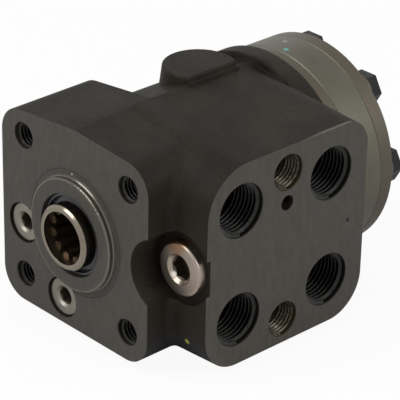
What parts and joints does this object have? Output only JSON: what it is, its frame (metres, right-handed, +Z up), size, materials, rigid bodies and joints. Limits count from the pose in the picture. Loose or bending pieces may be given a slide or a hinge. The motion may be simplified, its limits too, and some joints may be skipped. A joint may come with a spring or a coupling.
{
  "type": "orbital steering unit",
  "caption": "Rotary spool valve in an iron housing with a gerotor metering set behind it, a column flange in front and ports on one side.",
  "frame": {"origin": "centre of the column face, on the axis of the spool", "axes": "+X towards the port face, +Y back along the spool to the gear set, +Z up"},
  "size_m": [0.1029, 0.1382, 0.0919],
  "materials": {
    "cast_iron": "dark grey iron casting, oiled, with machined faces a little lighter",
    "seal": "black nitrile",
    "bearing_steel": "ground bearing steel",
    "valve_steel": "bright ground valve steel",
    "gear_steel": "ground gear set steel, oiled, olive grey",
    "cover_steel": "turned steel, oiled",
    "black_screw": "black oxide high tensile steel",
    "plated_steel": "bright zinc plated steel",
    "spring_steel": "oiled spring steel"
  },
  "bodies": {
    "housing": {"housing": "cast_iron", "dust_seal": "seal", "shaft_seal": "seal", "seal_o_ring": "seal", "bearing_outer_race": "bearing_steel", "distributor_plate": "gear_steel", "gear_ring": "gear_steel", "end_cover": "cover_steel", "plate_o_ring": "seal", "ring_o_ring": "seal", "cover_o_ring": "seal", "cover_screws": "black_screw", "pin_screw": "black_screw", "rolled_pin": "spring_steel", "screw_washers": "plated_steel", "check_seat": "bearing_steel", "suction_pins": "bearing_steel", "relief_plug": "plated_steel", "relief_plug_ring": "seal", "relief_setting_screw": "bearing_steel", "relief_spring": "spring_steel", "relief_seat": "bearing_steel", "shock_plugs": "plated_steel", "shock_plug_washers": "bearing_steel", "shock_setting_screws": "bearing_steel", "shock_spring_left": "spring_steel", "shock_spring_lower": "spring_steel", "shock_seats": "bearing_steel"},
    "sleeve": {"valve_sleeve": "valve_steel", "spring_retaining_ring": "spring_steel", "cross_pin": "bearing_steel", "centring_springs": "spring_steel", "bearing_inner_race": "bearing_steel"},
    "spool": {"valve_spool": "valve_steel"},
    "bearing_cage": {"bearing_cage": "bearing_steel", "bearing_needles": "bearing_steel"},
    "orbit": {"cardan_spacer": "bearing_steel"},
    "rotor": {"gear_rotor": "gear_steel"},
    "cardan": {"cardan_shaft": "valve_steel"},
    "check_ball": {"check_ball": "bearing_steel"},
    "relief_cone": {"relief_cone": "bearing_steel"},
    "shock_ball_left": {"shock_ball_left": "bearing_steel"},
    "shock_ball_lower": {"shock_ball_lower": "bearing_steel"},
    "suction_ball_left": {"suction_ball_left": "bearing_steel"},
    "suction_ball_lower": {"suction_ball_lower": "bearing_steel"}
  },
  "joints": [
    {"name": "steering_turn", "type": "hinge", "parent": "housing", "child": "sleeve", "pos_m": [0, 0, 0], "axis": [0, 1, 0], "continuous": true},
    {"name": "valve_deflection", "type": "hinge", "parent": "sleeve", "child": "spool", "pos_m": [0, 0, 0], "axis": [0, 1, 0], "range_deg": [-8, 8], "stiffness_Nm_per_rad": 5, "deforming": ["centring_springs"]},
    {"name": "bearing_cage_turn", "type": "hinge", "parent": "housing", "child": "bearing_cage", "pos_m": [0, 0, 0], "axis": [0, 1, 0], "continuous": true},
    {"name": "rotor_orbit", "type": "hinge", "parent": "housing", "child": "orbit", "pos_m": [0, 0, 0], "axis": [0, 1, 0], "continuous": true},
    {"name": "rotor_spin", "type": "hinge", "parent": "orbit", "child": "rotor", "pos_m": [0.0025, 0.1108, 0], "axis": [0, 1, 0], "continuous": true},
    {"name": "cardan_spin", "type": "hinge", "parent": "orbit", "child": "cardan", "pos_m": [0, 0.031, 0], "axis": [0.0313, 0.9995, 0], "continuous": true},
    {"name": "check_ball_lift", "type": "slide", "parent": "housing", "child": "check_ball", "axis": [0, 1, 0], "range_m": [0, 0.0015]},
    {"name": "relief_cone_lift", "type": "slide", "parent": "housing", "child": "relief_cone", "axis": [0, -1, 0], "range_m": [0, 0.0015], "stiffness_N_per_m": 1000, "deforming": ["relief_spring"]},
    {"name": "shock_ball_left_lift", "type": "slide", "parent": "housing", "child": "shock_ball_left", "axis": [0, -1, 0], "range_m": [0, 0.0015], "stiffness_N_per_m": 1000, "deforming": ["shock_spring_left"]},
    {"name": "shock_ball_lower_lift", "type": "slide", "parent": "housing", "child": "shock_ball_lower", "axis": [0, -1, 0], "range_m": [0, 0.0015], "stiffness_N_per_m": 1000, "deforming": ["shock_spring_lower"]},
    {"name": "suction_ball_left_lift", "type": "slide", "parent": "housing", "child": "suction_ball_left", "axis": [0, 1, 0], "range_m": [0, 0.0015]},
    {"name": "suction_ball_lower_lift", "type": "slide", "parent": "housing", "child": "suction_ball_lower", "axis": [0, 1, 0], "range_m": [0, 0.0015]}
  ],
  "couplings": [
    {"joint": "bearing_cage_turn", "follows": "steering_turn", "ratio": 0.5},
    {"joint": "rotor_orbit", "follows": "steering_turn", "ratio": -6},
    {"joint": "rotor_spin", "follows": "steering_turn", "ratio": 7},
    {"joint": "cardan_spin", "follows": "steering_turn", "ratio": 7}
  ]
}
